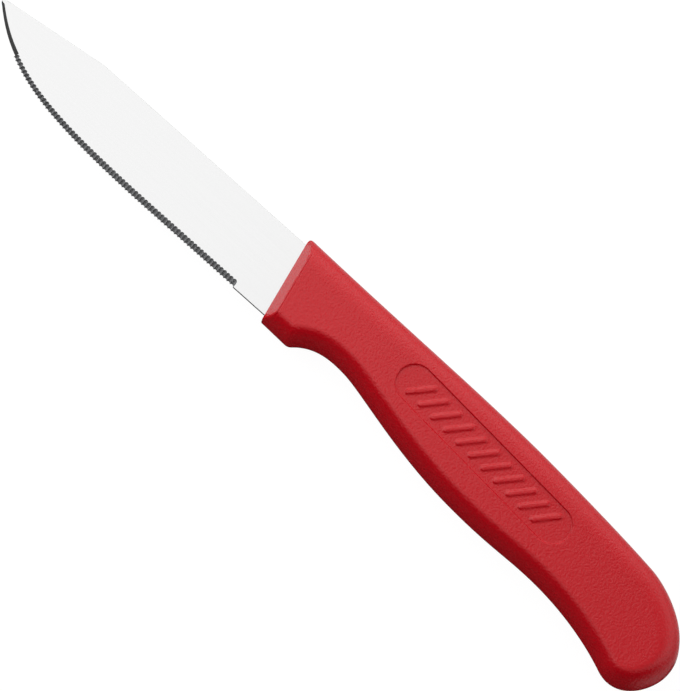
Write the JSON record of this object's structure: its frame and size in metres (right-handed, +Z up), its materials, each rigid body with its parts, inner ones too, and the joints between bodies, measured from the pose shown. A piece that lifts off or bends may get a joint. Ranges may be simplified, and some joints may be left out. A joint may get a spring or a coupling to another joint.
{
  "type": "serrated knife",
  "caption": "Small kitchen knife with a fine-serrated steel blade and a contoured one-piece plastic handle with a finger notch and sunk grip panels.",
  "frame": {"origin": "on the surface that the knife lies on, under the middle of its bounding box", "axes": "+X along the blade from the point to the butt, +Y from the cutting edge to the back, +Z up through the thickness, with the fluted side of the edge up"},
  "size_m": [0.1912, 0.0268, 0.012],
  "materials": {
    "blade_steel": "stainless strip, finely polished along its length, bright ground bevel with serration flutes on one side",
    "handle_plastic": "red polypropylene, satin from a finely textured mould"
  },
  "bodies": {
    "root": {"blade": "blade_steel", "handle": "handle_plastic"}
  },
  "joints": []
}
